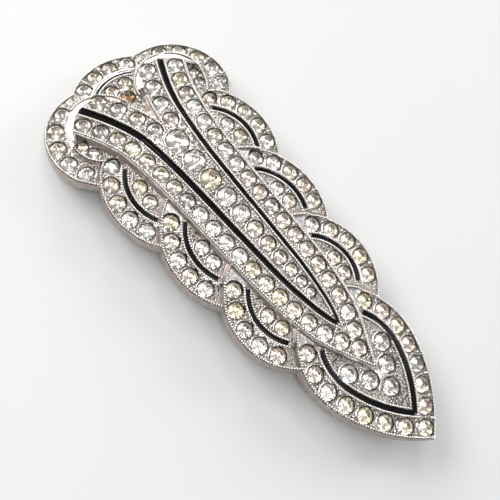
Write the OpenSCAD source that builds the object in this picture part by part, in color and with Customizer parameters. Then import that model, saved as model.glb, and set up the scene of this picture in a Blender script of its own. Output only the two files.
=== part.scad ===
// Art Deco style dress clip: a cast metal plate of overlapping lobes under two long leaves,
// paved with round cut stones, with black enamel lines and a spring clip behind it.
// X runs across the clip, Y from the pointed tip to the crown, Z out of its face.
// Inside the modules y is measured from the tip and z from the back of the plate.

/* [Plate] */
// Length of the clip from its tip to the crown lobe's edge, before the bend
clip_len = 63; // [50:0.5:80]
// Thickness of the plate at the crown lobe
plate_t = 1.4; // [1.1:0.05:2.2]
// How much higher each lobe lies than the lobe that it overlaps
lobe_step = 0.12; // [0.05:0.01:0.25]
// How much the field inside each enamel arc stands above the stones' row
field_rise = 0.45; // [0.2:0.05:0.8]
// Height of the two leaves above the back of the plate
leaf_h = 2.9; // [2.6:0.05:3.6]
// How much the middle panel stands above the leaves
panel_rise = 0.3; // [0.1:0.05:0.6]
// Angle by which the crown end bends back
crown_bend = 10; // [4:0.5:14]

/* [Borders] */
// Metal between a row's stones and the lobe's edge
edge_w = 0.3; // [0.25:0.05:0.6]
// Width of the raised milled borders
bead_w = 0.36; // [0.25:0.01:0.5]
// Height of the raised milled borders
bead_h = 0.2; // [0.1:0.05:0.3]
// Radius of the rounded leaf ends
leaf_end_r = 4.8; // [4:0.1:5.5]
// Width of the smooth rim round a leaf end
leaf_rim_w = 1.1; // [0.6:0.1:1.4]

/* [Stones] */
// Diameter of the stones in the rows
stone_d = 2.1; // [1.6:0.05:2.3]
// Diameter of the stones inside the enamel arcs
inner_d = 1.9; // [1.4:0.05:2.1]
// Diameter of the two small stones inside each leaf end
small_d = 1.4; // [1:0.05:1.6]
// Least metal between two neighbours in a row
stone_gap = 0.15; // [0.1:0.01:0.4]
// Metal between two neighbours in the tip lobe's row
tip_gap = 0.38; // [0.3:0.02:0.6]
// Number of stones down the middle
centre_n = 11;
// Last stone of the middle row as a share of the first
centre_taper = 0.44; // [0.35:0.01:0.7]
// Metal between two stones of the middle row
centre_gap = 0.26; // [0.15:0.01:0.4]
// Gap between a stone and the wall of its seat
seat_gap = 0.04; // [0.03:0.01:0.08]
// Depth of a seat as a share of its stone's diameter
seat_share = 0.4; // [0.34:0.01:0.44]

/* [Enamel] */
// Width of the short enamel arcs
arc_w = 0.5; // [0.3:0.05:0.7]
// Width of the long enamel lines at the leaf ends
line_top_w = 0.8; // [0.5:0.05:0.9]
// Width of the long enamel lines where they meet
line_low_w = 0.45; // [0.3:0.05:0.6]
// Depth of the enamel channels
enamel_t = 0.4; // [0.25:0.05:0.6]
// Gap between the enamel and its channel
enamel_gap = 0.03; // [0.02:0.01:0.05]

/* [Back clip] */
// Thickness of the spring metal
spring_t = 0.6; // [0.4:0.05:0.8]
// Width of the spring at its bend
spring_w = 10; // [7:0.5:12]
// Width of the spring at its free end
spring_end_w = 6.5; // [4:0.5:7]
// Clear space inside the spring's bend
spring_space = 1.6; // [1.2:0.1:2.2]
// Length of the spring's free leg
spring_len = 27; // [20:0.5:29]
// Length of the leg that is riveted to the plate
foot_len = 13; // [11:0.5:15]
// Gap between the gripping lip and the plate
lip_gap = 0.5; // [0.3:0.05:0.8]
// Diameter of the two rivets
rivet_d = 1.8; // [1.4:0.1:2]
// Distance between the two rivets
rivet_pitch = 6; // [5:0.5:7]
// Height of the rivet heads
rivet_head_t = 0.45; // [0.3:0.05:0.6]
// Clearance of the riveted leg and of its holes
rivet_gap = 0.05; // [0.03:0.01:0.1]

/* [Hidden] */
$fn = 96;
centre_names = [for (i = [1 : centre_n]) str("centre_stone_", i)];
side_names = [for (i = [1 : 3], s = ["left", "right"]) str("enamel_side_", i, "_", s)];

// Each lobe is an arc about its own centre. All lengths in the tables are shares of clip_len.
// Columns: centre x, centre y, radius of the stones' row, first and last stone's angle,
// enamel arc's first and last angle, angle of the middle of the inner stones
LOBES = [
    [0.000, 0.870, 0.1130, 119, 61, 122, 58, 90],
    [0.0895, 0.859, 0.0970, 68, -28, 0, 0, 0],
    [0.0497, 0.700, 0.1215, 50, -24, 48, -30, 7],
    [0.0229, 0.539, 0.1328, 47, -19, 49, -25, 3],
    [0.0256, 0.375, 0.1190, 46, -31, 48, -38, -9]
];
CROWN = 0;
SHOULDER = 1;
SIDES = [2, 3, 4];

// The middle line of the right leaf's row of stones, from the lower point to the leaf end.
// Columns: x, y
LEAF = [
    [-0.022, 0.198], [0.000, 0.222], [0.0355, 0.294], [0.0530, 0.389], [0.0592, 0.492],
    [0.0640, 0.611], [0.0698, 0.714], [0.0810, 0.797], [0.1020, 0.859], [0.1360, 0.923]
];

// Sizes that follow from the ones above
row_edge = stone_d / 2 + edge_w;
row_pitch = stone_d + stone_gap;
bend_y = 0.794 * clip_len;
bend_z = leaf_h + panel_rise;
tip_level = plate_t + 5 * lobe_step;
leaf_end = [0.0868, 0.868] * clip_len;
line_in = stone_d / 2 + bead_w + line_top_w / 2;
branch_in = 2 * line_in + 0.1;

// Tip lobe: a long flank arc on each side and a shoulder arc tangent to it
flank_r = 0.3175 * clip_len;
flank_y = 0.255 * clip_len;
flank = [-sqrt(pow(flank_r, 2) - pow(flank_y, 2)), flank_y];
join_a = -16;
shoulder_r = 0.1565 * clip_len;
shoulder = flank + (flank_r - shoulder_r) * [cos(join_a), sin(join_a)];
shoulder_a = 31;

// Middle row: the first stone's diameter lets the row fill its length
centre_top = 0.752 * clip_len;
centre_span = 0.390 * clip_len;
centre_d = (centre_span - (centre_n - 1) * centre_gap) / ((centre_n - 1) * (1 + centre_taper) / 2);

// Back clip
spring_r = spring_space / 2 + spring_t;
spring_drop = rivet_gap + 2 * spring_r;
bend_at = 0.755 * clip_len;
rivet_y = bend_at - foot_len / 2;

function centre_dia(i) = centre_d * (1 - (1 - centre_taper) * i / (centre_n - 1));
function centre_y(i) = i == 0 ? centre_top
    : centre_y(i - 1) - (centre_dia(i - 1) + centre_dia(i)) / 2 - centre_gap;

// Curves as lists of points
function catmull(p, i, t) =
    let (a = p[max(i - 1, 0)], b = p[i], c = p[i + 1], d = p[min(i + 2, len(p) - 1)])
    (2 * b + (c - a) * t + (2 * a - 5 * b + 4 * c - d) * t * t
        + (3 * b - a - 3 * c + d) * t * t * t) / 2;
function spline(p, n) = [
    for (i = [0 : len(p) - 2], k = [0 : n - 1]) catmull(p, i, k / n),
    p[len(p) - 1]
];
function normal(p, i) =
    let (t = p[min(i + 1, len(p) - 1)] - p[max(i - 1, 0)]) [t.y, -t.x] / norm(t);
function beside(p, d) = [for (i = [0 : len(p) - 1]) p[i] + d * normal(p, i)];
function reversed(p) = [for (i = [len(p) - 1 : -1 : 0]) p[i]];
function run(p, i = 0, s = 0) = i >= len(p) ? []
    : concat([s], run(p, i + 1, i + 1 < len(p) ? s + norm(p[i + 1] - p[i]) : s));
function point_at(p, s) =
    let (r = run(p))
    [lookup(s, [for (i = [0 : len(p) - 1]) [r[i], p[i].x]]),
     lookup(s, [for (i = [0 : len(p) - 1]) [r[i], p[i].y]])];
function arc(c, r, a0, a1, n = 24) = [
    for (k = [0 : n]) let (a = a0 + (a1 - a0) * k / n) c + r * [cos(a), sin(a)]
];
// As many places as fit along a curve at a least pitch, from its first point to its last
function places(p, pitch) =
    let (total = run(p)[len(p) - 1], n = max(1, floor(total / pitch)))
    [for (k = [0 : n]) point_at(p, total * k / n)];
function mirrored(q) = [for (v = q) [-v.x, v.y]];
function between(p, lo, hi) = [for (v = p) if (v.y >= lo && v.y <= hi) v];

// Lobe sizes
function lobe_c(k) = [LOBES[k][0], LOBES[k][1]] * clip_len;
function lobe_row(k) = LOBES[k][2] * clip_len;
function lobe_edge(k) = lobe_row(k) + row_edge;
function lobe_level(k) = plate_t + k * lobe_step;
function enamel_r(k) = lobe_row(k) - stone_d / 2 - bead_w - arc_w / 2;
function inner_r(k) = enamel_r(k) - arc_w / 2 - bead_w - inner_d / 2;

// Where the stones sit: one list of places for each row, right side only
leaf_line = spline(LEAF * clip_len, 5);
leaf_fine = spline(LEAF * clip_len, 24);
leaf_row_lo = 0.252 * clip_len;
leaf_row_hi = 0.892 * clip_len;
branch_lo = 0.795 * clip_len;
branch_hi = 0.916 * clip_len;
leaf_places = places(between(leaf_fine, leaf_row_lo, leaf_row_hi), row_pitch);
branch_places = places(between(beside(leaf_fine, -branch_in), branch_lo, branch_hi), row_pitch);
tip_arc = function (d, short = 0) concat(
    arc(shoulder, shoulder_r - d, shoulder_a - asin(short / (shoulder_r - d)), join_a, 20),
    arc(flank, flank_r - d, join_a - 3, -acos(-flank.x / (flank_r - d)), 14)
);
tip_row_y = 0.281 * clip_len;
tip_places = places(between(tip_arc(row_edge), -1, tip_row_y), stone_d + tip_gap);
tip_inner_y = 0.128 * clip_len;
tip_inner_step = 0.0435 * clip_len;
tip_inner_a = 56;
point_y = 0.2225 * clip_len;
function row_places(k) =
    places(arc(lobe_c(k), lobe_row(k), LOBES[k][3], LOBES[k][4]), row_pitch);
function inner_places(k) =
    let (r = inner_r(k), step = 2 * asin((inner_d + 2 * stone_gap) / 2 / r), m = LOBES[k][7])
    [for (a = [m + step / 2, m - step / 2]) lobe_c(k) + r * [cos(a), sin(a)]];
crown_low = lobe_c(CROWN) + [0, inner_r(CROWN) - inner_d - stone_gap];
small_r = leaf_end_r - bead_w - small_d / 2 - 2 * seat_gap;
small_step = 2 * asin((small_d + stone_gap) / 2 / small_r);
small_places = [for (a = [-6, -6 - small_step]) leaf_end + small_r * [cos(a), sin(a)]];

// Moves its children onto the face at a place, beyond the bend with the crown's slope
module on_face(p, level) {
    if (p.y > bend_y)
        translate([0, bend_y, bend_z]) rotate([-crown_bend, 0, 0])
            translate([p.x, p.y - bend_y, level - bend_z]) children();
    else
        translate([p.x, p.y, level]) children();
}

// A flat shape drawn from the tip, given a thickness: the part below the bend
module low_slab(z0, z1) {
    big = 2 * clip_len;
    translate([0, 0, z0]) linear_extrude(z1 - z0) intersection() {
        children();
        translate([-big / 2, bend_y - big]) square(big);
    }
}

// The part beyond the bend, with the crown's slope
module high_slab(z0, z1) {
    big = 2 * clip_len;
    translate([0, bend_y, bend_z]) rotate([-crown_bend, 0, 0]) translate([0, -bend_y, z0 - bend_z])
        linear_extrude(z1 - z0) intersection() {
            children();
            translate([-big / 2, bend_y]) square(big);
        }
}

module bent_slab(z0, z1) {
    low_slab(z0, z1) children();
    high_slab(z0, z1) children();
}

module both_sides() {
    children();
    mirror([1, 0, 0]) children();
}

// Flat shapes, right side

module ring_arc(c, r, w, a0, a1) {
    reach = 2 * r;
    translate(c) intersection() {
        difference() {
            circle(r + w / 2);
            circle(r - w / 2);
        }
        polygon(concat([[0, 0]], [for (k = [0 : 6]) let (a = a0 + (a1 - a0) * k / 6)
            reach * [cos(a), sin(a)]]));
    }
}

module lobe_disc(k, inset = 0) {
    translate(lobe_c(k)) circle(lobe_edge(k) - inset);
}

module tip_half(inset = 0) {
    intersection() {
        polygon(concat(tip_arc(inset), [[0, 0.36 * clip_len]]));
        square(clip_len);
    }
}

module strip(p, w0, w1) {
    n = len(p) - 1;
    polygon(concat(
        [for (i = [0 : n]) p[i] + normal(p, i) * (w0 + (w1 - w0) * i / n) / 2],
        [for (i = [n : -1 : 0]) p[i] - normal(p, i) * (w0 + (w1 - w0) * i / n) / 2]
    ));
}

// The border outside an enamel arc, run a little past the arc's two ends
module lobe_border(k) {
    past = asin(bead_w / enamel_r(k));
    ring_arc(lobe_c(k), enamel_r(k) + arc_w / 2 + bead_w / 2, bead_w,
        LOBES[k][5] + past, LOBES[k][6] - past);
}

// Keeps what lies right of the middle and inside the leaf's rounded end
module leaf_clip(inset) {
    intersection() {
        children();
        translate([0, 0]) square([clip_len, clip_len * 1.1]);
        union() {
            square([clip_len, leaf_end.y]);
            translate(leaf_end) circle(leaf_end_r - inset);
        }
    }
}

leaf_inner_edge = between(beside(leaf_line, -branch_in - row_edge), bend_y, clip_len * 1.1);
line_path = beside(leaf_line, -line_in);

module leaf_shape(inset = 0) {
    leaf_clip(leaf_rim_w + inset) polygon(concat(
        beside(leaf_line, row_edge - inset), reversed(leaf_inner_edge),
        [[0, bend_y + 2], [-1, 0.3 * clip_len]]
    ));
}

module panel_shape() {
    leaf_clip(leaf_rim_w) polygon(concat(
        between(line_path, 0.25 * clip_len, clip_len * 1.1), reversed(leaf_inner_edge),
        [[0, bend_y + 2], [-1, 0.35 * clip_len]]
    ));
}

module line_shape(gap) {
    leaf_clip(leaf_rim_w + gap) intersection() {
        strip(line_path, line_low_w - 2 * gap, line_top_w - 2 * gap);
        translate([gap, 0]) square(clip_len * 1.1);
    }
}

module tip_band(d, w, short = 0) {
    polygon(concat(tip_arc(d - w / 2, short), reversed(tip_arc(d + w / 2, short))));
}

// Solid pieces

module seat(p, d, level) {
    on_face(p, level) translate([0, 0, -seat_share * d])
        cylinder(r = d / 2 + seat_gap, h = seat_share * d + 2);
}

// A cut stone: an eight-sided table, eight mains, a thin girdle and eight pavilion facets
module stone(p, d, level) {
    r = d / 2;
    girdle = 0.06 * d;
    crown = 0.15 * d;
    table = 0.56 * r;
    low = -seat_share * d + seat_gap;
    ring = function (rad, z, turn) [
        for (k = [0 : 7]) [rad * cos(45 * k + turn), rad * sin(45 * k + turn), z]
    ];
    pts = concat(ring(0.3 * r, low, 0), ring(r, -girdle, 0), ring(r, 0, 0), ring(table, crown, 22.5));
    on_face(p, level) polyhedron(pts, concat(
        [[for (k = [0 : 7]) k]],
        [for (k = [0 : 7]) [k, 8 + k, 8 + (k + 1) % 8, (k + 1) % 8]],
        [for (k = [0 : 7]) [8 + k, 16 + k, 16 + (k + 1) % 8, 8 + (k + 1) % 8]],
        [for (k = [0 : 7]) [16 + k, 24 + k, 16 + (k + 1) % 8]],
        [for (k = [0 : 7]) [24 + k, 24 + (k + 1) % 8, 16 + (k + 1) % 8]],
        [[for (k = [7 : -1 : 0]) 24 + k]]
    ));
}

// Runs its child over every place of a list: cut says whether seats or stones are made
module fill(list, d, level, cut) {
    for (p = list) {
        if (cut) seat(p, d, level);
        else stone(p, d, level);
    }
}

module leaf_fill(cut) {
    fill(leaf_places, stone_d, leaf_h, cut);
    fill(branch_places, stone_d, bend_z, cut);
}

module side_fill(cut) {
    for (k = SIDES) {
        fill(row_places(k), stone_d, lobe_level(k), cut);
        fill(inner_places(k), inner_d, lobe_level(k) + field_rise, cut);
    }
}

module crown_fill(cut) {
    fill(row_places(CROWN), stone_d, lobe_level(CROWN), cut);
    fill(inner_places(CROWN), inner_d, lobe_level(CROWN) + field_rise, cut);
    fill([crown_low], inner_d, lobe_level(CROWN) + field_rise, cut);
    for (list = [row_places(SHOULDER), mirrored(row_places(SHOULDER))])
        fill(list, stone_d, lobe_level(SHOULDER), cut);
    for (list = [small_places, mirrored(small_places)])
        fill(list, small_d, lobe_level(SHOULDER) + field_rise, cut);
}

module tip_fill(cut) {
    n = len(tip_places);
    right = [for (i = [0 : n - 2]) tip_places[i]];
    inner = [for (i = [1, 2]) [i * tip_inner_step * cos(tip_inner_a),
        tip_inner_y + i * tip_inner_step * sin(tip_inner_a)]];
    fill(concat(right, mirrored(right), [[0, tip_places[n - 1].y]]), stone_d, tip_level, cut);
    fill(concat(inner, mirrored(inner), [[0, tip_inner_y]]), stone_d, tip_level + field_rise, cut);
    fill([[0, point_y]], stone_d, leaf_h, cut);
}

module lobe_rim(k) {
    difference() {
        lobe_disc(k);
        lobe_disc(k, bead_w);
        for (j = [k + 1 : 1 : len(LOBES) - 1]) lobe_disc(j);
        tip_half();
    }
}

module cast_plate() {
    inside = plate_t / 2;
    low_slab(0, plate_t) both_sides() {
        for (k = concat([SHOULDER], SIDES)) lobe_disc(k);
        tip_half();
    }
    high_slab(0, plate_t) both_sides() for (k = [CROWN, SHOULDER, SIDES[0]]) lobe_disc(k);
    bent_slab(inside, lobe_level(SHOULDER)) both_sides() lobe_disc(SHOULDER);
    high_slab(inside, lobe_level(SIDES[0])) both_sides() lobe_disc(SIDES[0]);
    for (k = SIDES) {
        low_slab(inside, lobe_level(k)) both_sides() lobe_disc(k);
        low_slab(inside, lobe_level(k) + field_rise)
            both_sides() translate(lobe_c(k)) circle(enamel_r(k) + arc_w / 2);
        low_slab(inside, lobe_level(k) + bead_h) both_sides() lobe_rim(k);
        low_slab(inside, lobe_level(k) + field_rise + bead_h) both_sides() lobe_border(k);
    }
    high_slab(inside, lobe_level(SIDES[0]) + bead_h) both_sides() lobe_rim(SIDES[0]);
    high_slab(inside, lobe_level(SHOULDER) + bead_h) both_sides() lobe_rim(SHOULDER);
    high_slab(inside, lobe_level(CROWN) + bead_h) lobe_rim(CROWN);
    high_slab(inside, lobe_level(CROWN) + field_rise)
        translate(lobe_c(CROWN)) circle(enamel_r(CROWN) + arc_w / 2);
    high_slab(inside, lobe_level(CROWN) + field_rise + bead_h) lobe_border(CROWN);
    // Tip lobe
    low_slab(inside, tip_level) both_sides() tip_half();
    low_slab(inside, tip_level + field_rise)
        both_sides() tip_half(row_edge + stone_d / 2 + bead_w);
    low_slab(inside, tip_level + bead_h) both_sides() tip_band(bead_w / 2, bead_w);
    low_slab(inside, tip_level + field_rise + bead_h)
        both_sides() tip_band(row_edge + stone_d / 2 + bead_w / 2, bead_w, -bead_w);
    // Leaf ends with their smooth rims, the leaves and the middle panel
    high_slab(inside, lobe_level(SHOULDER) + field_rise)
        both_sides() translate(leaf_end) circle(leaf_end_r);
    high_slab(inside, leaf_h - bead_h)
        both_sides() ring_arc(leaf_end, leaf_end_r - leaf_rim_w / 2, leaf_rim_w, 150, 12);
    high_slab(inside, lobe_level(SHOULDER) + field_rise + bead_h)
        both_sides() ring_arc(leaf_end, leaf_end_r - bead_w / 2, bead_w, 12, -45);
    bent_slab(inside, leaf_h) both_sides() leaf_shape();
    bent_slab(inside, leaf_h + bead_h) both_sides() difference() {
        leaf_shape();
        leaf_shape(bead_w);
        panel_shape();
    }
    bent_slab(inside, bend_z) both_sides() panel_shape();
}

module plate() {
    color("silver") difference() {
        union() {
            cast_plate();
            for (y = [rivet_y - rivet_pitch / 2, rivet_y + rivet_pitch / 2]) translate([0, y, 0]) {
                translate([0, 0, -rivet_gap - spring_t - rivet_gap]) cylinder(d = rivet_d, h = plate_t);
                translate([0, 0, -2 * rivet_gap - spring_t - rivet_head_t])
                    cylinder(d = 1.5 * rivet_d, h = rivet_head_t);
            }
        }
        both_sides() {
            leaf_fill(true);
            side_fill(true);
            bent_slab(leaf_h - enamel_t, leaf_h + 2) line_shape(0);
            for (k = SIDES) arc_slab(k, 0, 2);
        }
        crown_fill(true);
        tip_fill(true);
        arc_slab(CROWN, 0, 2);
        both_sides() bent_slab(tip_level + field_rise - enamel_t, tip_level + 2) tip_line(0);
        for (i = [0 : centre_n - 1]) seat([0, centre_y(i)], centre_dia(i), bend_z);
    }
}

module arc_slab(k, gap, over) {
    top = lobe_level(k) + field_rise;
    end = asin(gap / enamel_r(k));
    bent_slab(top - enamel_t + gap, top + over) ring_arc(
        lobe_c(k), enamel_r(k), arc_w - 2 * gap, LOBES[k][5] - end, LOBES[k][6] + end);
}

module tip_line(gap) {
    tip_band(row_edge + stone_d / 2 + bead_w + arc_w / 2, arc_w - 2 * gap, gap);
}

module enamel_leaf() {
    color("black") bent_slab(leaf_h - enamel_t + enamel_gap, leaf_h) line_shape(enamel_gap);
}

module enamel_side(k) {
    color("black") arc_slab(k, enamel_gap, 0);
}

module enamel_tip() {
    color("black") both_sides()
        bent_slab(tip_level + field_rise - enamel_t + enamel_gap, tip_level + field_rise)
            tip_line(enamel_gap);
}

module centre_stone(i) {
    color("white") stone([0, centre_y(i)], centre_dia(i), bend_z);
}

// The spring: a riveted leg, a round bend and a tapered free leg with a gripping lip
module back_clip() {
    foot_y = bend_at - foot_len;
    end_y = bend_at - spring_len;
    lip_h = spring_drop - lip_gap;
    color("silver") difference() {
        union() {
            translate([-spring_w / 2, foot_y, -rivet_gap - spring_t])
                cube([spring_w, foot_len, spring_t]);
            translate([0, bend_at, -rivet_gap - spring_r]) intersection() {
                rotate([0, 90, 0]) difference() {
                    cylinder(r = spring_r, h = spring_w, center = true);
                    cylinder(r = spring_space / 2, h = spring_w + 2, center = true);
                }
                translate([-spring_w, 0, -spring_w]) cube(2 * spring_w);
            }
            translate([0, 0, -spring_drop]) linear_extrude(spring_t) polygon([
                [-spring_w / 2, bend_at], [spring_w / 2, bend_at],
                [spring_end_w / 2, end_y], [-spring_end_w / 2, end_y]
            ]);
            translate([-spring_end_w / 2, end_y, -spring_drop]) cube([spring_end_w, spring_t, lip_h]);
        }
        for (y = [rivet_y - rivet_pitch / 2, rivet_y + rivet_pitch / 2])
            translate([0, y, -spring_t - 2 * rivet_gap])
                cylinder(d = rivet_d + 2 * rivet_gap, h = spring_t + 2 * rivet_gap);
    }
}

// Rests on the back clip: the origin is the middle of the box below it
top_y = bend_y + (lobe_c(CROWN).y + lobe_edge(CROWN) - bend_y) * cos(crown_bend)
    + (lobe_level(CROWN) + bead_h - bend_z) * sin(crown_bend);
module placed() {
    translate([0, -top_y / 2, spring_drop]) children();
}

placed() {
    plate();
    enamel_leaf();  // enamel_leaf_right
    mirror([1, 0, 0]) enamel_leaf();  // enamel_leaf_left
    for (i = [0 : 2]) {
        enamel_side(SIDES[i]);
        mirror([1, 0, 0]) enamel_side(SIDES[i]);
    }
    enamel_tip();
    enamel_side(CROWN);  // enamel_crown
    for (i = [0 : centre_n - 1])
        centre_stone(i);
    color("white") leaf_fill(false);  // leaf_stones_right
    color("white") mirror([1, 0, 0]) leaf_fill(false);  // leaf_stones_left
    color("white") side_fill(false);  // side_stones_right
    color("white") mirror([1, 0, 0]) side_fill(false);  // side_stones_left
    color("white") crown_fill(false);  // crown_stones
    color("white") tip_fill(false);  // tip_stones
    back_clip();
}
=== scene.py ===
"""Dress clip: cast and plated metal, cut pastes, black enamel. Modelled in millimetres, shown in metres."""
import bpy
import bmesh
import math
import random
from collections import namedtuple
from mathutils import Matrix, Quaternion, Vector


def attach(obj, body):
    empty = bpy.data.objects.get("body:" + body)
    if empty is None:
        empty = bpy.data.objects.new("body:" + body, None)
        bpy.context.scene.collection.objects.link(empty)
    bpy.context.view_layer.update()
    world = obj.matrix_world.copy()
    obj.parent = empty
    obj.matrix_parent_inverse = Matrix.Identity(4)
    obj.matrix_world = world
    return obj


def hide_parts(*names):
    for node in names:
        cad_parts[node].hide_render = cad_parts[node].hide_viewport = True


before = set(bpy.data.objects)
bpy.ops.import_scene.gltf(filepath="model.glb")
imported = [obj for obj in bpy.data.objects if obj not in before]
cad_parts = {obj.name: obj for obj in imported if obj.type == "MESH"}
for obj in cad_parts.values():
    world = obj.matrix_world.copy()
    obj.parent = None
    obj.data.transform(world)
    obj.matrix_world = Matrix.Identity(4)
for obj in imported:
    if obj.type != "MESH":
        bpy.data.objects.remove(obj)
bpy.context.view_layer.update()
rng = random.Random(11)
MM = 0.001

# Sizes of the casting in millimetres, as in the part's source
CLIP = 63.0
PLATE_T, LOBE_STEP, FIELD_RISE = 1.4, 0.12, 0.45
LEAF_H, PANEL_RISE, CROWN_BEND = 2.9, 0.3, 10.0
EDGE_W, BEAD_W, BEAD_H = 0.3, 0.36, 0.2
END_R, END_RIM = 4.8, 1.1
STONE_D, INNER_D, SMALL_D = 2.1, 1.9, 1.4
TIP_D = STONE_D + 0.22  # the tip's inner stones are a little larger than the rows'
STONE_GAP, TIP_GAP, CENTRE_GAP = 0.15, 0.38, 0.26
CENTRE_N, CENTRE_TAPER = 11, 0.44
SEAT_GAP = 0.04
ARC_W, LINE_TOP_W, LINE_LOW_W, ENAMEL_T = 0.5, 0.8, 0.45, 0.4
SPRING_DROP = 2.85

# Centre and radius of a lobe's row of stones as shares of the clip's length, then angles:
# the row's first and last stone, the enamel arc's ends, and the middle of the inner stones
Lobe = namedtuple("Lobe", "x y row first last line_first line_last inner")
LOBES = [
    Lobe(0.0, 0.870, 0.1130, 119, 61, 122, 58, 90),
    Lobe(0.0895, 0.859, 0.0970, 68, -28, 0, 0, 0),
    Lobe(0.0497, 0.700, 0.1215, 50, -24, 48, -30, 7),
    Lobe(0.0229, 0.539, 0.1328, 47, -19, 49, -25, 3),
    Lobe(0.0256, 0.375, 0.1190, 46, -31, 48, -38, -9),
]
CROWN, SHOULDER, SIDES = 0, 1, (2, 3, 4)
# The line of a leaf's stones, from its point to its end
LEAF = [
    (-0.022, 0.198), (0.0, 0.222), (0.0355, 0.294), (0.0530, 0.389), (0.0592, 0.492),
    (0.0640, 0.611), (0.0698, 0.714), (0.0810, 0.797), (0.1020, 0.859), (0.1360, 0.923),
]

# Ends of the stones' rows, and the stones that stand by themselves
LEAF_ROW, BRANCH_ROW, TIP_ROW_TOP = (0.252 * CLIP, 0.892 * CLIP), (0.795 * CLIP, 0.916 * CLIP), 0.281 * CLIP
TIP_INNER_Y, TIP_INNER_STEP, TIP_INNER_A = 0.128 * CLIP, 0.0435 * CLIP, 56
LEAF_LAST_Y = 0.2225 * CLIP
SMALL_A = -6

# Levels that only cut or join: inside the plate, and above all of it
ROOT_LOW, ROOT, ROOT_HIGH, ABOVE = 0.6, 0.7, 0.8, 6.0
ROUND_N, SEAT_N = 128, 28

ROW_EDGE = STONE_D / 2 + EDGE_W
PITCH = STONE_D + STONE_GAP
BEND_Y, BEND_Z = 0.794 * CLIP, LEAF_H + PANEL_RISE
TIP_LEVEL = PLATE_T + 5 * LOBE_STEP
END = Vector((0.0868, 0.868)) * CLIP
LINE_IN = STONE_D / 2 + BEAD_W + LINE_TOP_W / 2
BRANCH_IN = 2 * LINE_IN + 0.1
FLANK_R, FLANK_Y = 0.3175 * CLIP, 0.255 * CLIP
FLANK = Vector((-math.sqrt(FLANK_R ** 2 - FLANK_Y ** 2), FLANK_Y))
JOIN_A, SHOULDER_R, SHOULDER_A = -16, 0.1565 * CLIP, 31
CENTRE_TOP, CENTRE_SPAN = 0.752 * CLIP, 0.390 * CLIP
CENTRE_D = (CENTRE_SPAN - (CENTRE_N - 1) * CENTRE_GAP) / ((CENTRE_N - 1) * (1 + CENTRE_TAPER) / 2)


# Curves and places

def turn(angle, length=1.0):
    """A step of some length in a direction given in degrees."""
    a = math.radians(angle)
    return Vector((length * math.cos(a), length * math.sin(a)))


SHOULDER_C = FLANK + turn(JOIN_A, FLANK_R - SHOULDER_R)


def spline(points, n):
    """A smooth line through the points, with n steps between two of them."""
    out = []
    for i in range(len(points) - 1):
        a, b = points[max(i - 1, 0)], points[i]
        c, d = points[i + 1], points[min(i + 2, len(points) - 1)]
        for k in range(n):
            t = k / n
            out.append((2 * b + (c - a) * t + (2 * a - 5 * b + 4 * c - d) * t * t
                        + (3 * b - a - 3 * c + d) * t ** 3) / 2)
    out.append(points[-1].copy())
    return out


def across(line, i):
    """The direction square to a line at a point, to the right of its run."""
    t = line[min(i + 1, len(line) - 1)] - line[max(i - 1, 0)]
    return Vector((t.y, -t.x)).normalized()


def beside(line, d):
    """A line moved to the right of its run."""
    return [p + d * across(line, i) for i, p in enumerate(line)]


def arc(c, r, a0, a1, n=24):
    return [c + turn(a0 + (a1 - a0) * k / n, r) for k in range(n + 1)]


def between(line, lo, hi):
    return [p for p in line if lo <= p.y <= hi]


def spread(line, n):
    """n + 1 points at even distances along a line."""
    run = [0.0]
    for a, b in zip(line, line[1:]):
        run.append(run[-1] + (b - a).length)
    out, j = [], 0
    for k in range(n + 1):
        s = run[-1] * k / n
        while j < len(line) - 2 and run[j + 1] < s:
            j += 1
        t = (s - run[j]) / max(run[j + 1] - run[j], 1e-9)
        out.append(line[j].lerp(line[j + 1], min(max(t, 0), 1)))
    return out


def length(line):
    return sum((b - a).length for a, b in zip(line, line[1:]))


def places(line, pitch):
    """As many even places along a line as its length has room for."""
    return spread(line, max(1, int(length(line) / pitch)))


def lobe_c(k):
    return Vector((LOBES[k].x, LOBES[k].y)) * CLIP


def lobe_row(k):
    return LOBES[k].row * CLIP


def lobe_edge(k):
    return lobe_row(k) + ROW_EDGE


def level(k):
    return PLATE_T + k * LOBE_STEP


def enamel_r(k):
    return lobe_row(k) - STONE_D / 2 - BEAD_W - ARC_W / 2


def inner_r(k):
    return enamel_r(k) - ARC_W / 2 - BEAD_W - INNER_D / 2


def field_r(k):
    """Radius of the raised field inside a lobe's row."""
    return enamel_r(k) + ARC_W / 2


def field_top(k):
    return level(k) + FIELD_RISE


def line_arc(k, r, n, short=0.0):
    """An arc beside a lobe's enamel line; short leaves an angle off both ends."""
    return arc(lobe_c(k), r, LOBES[k].line_first - short, LOBES[k].line_last + short, n)


TIP_TOP, END_TOP = TIP_LEVEL + FIELD_RISE, field_top(SHOULDER)
TIP_FIELD_IN = ROW_EDGE + STONE_D / 2 + BEAD_W


def tip_arc(d, short=0.0):
    """The tip's right edge moved in by d, from its shoulder to its point; short leaves some off its start."""
    back = math.degrees(math.asin(short / (SHOULDER_R - d)))
    low = -math.degrees(math.acos(-FLANK.x / (FLANK_R - d)))
    return (arc(SHOULDER_C, SHOULDER_R - d, SHOULDER_A - back, JOIN_A, 20)
            + arc(FLANK, FLANK_R - d, JOIN_A - 1, low, 26))


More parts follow.
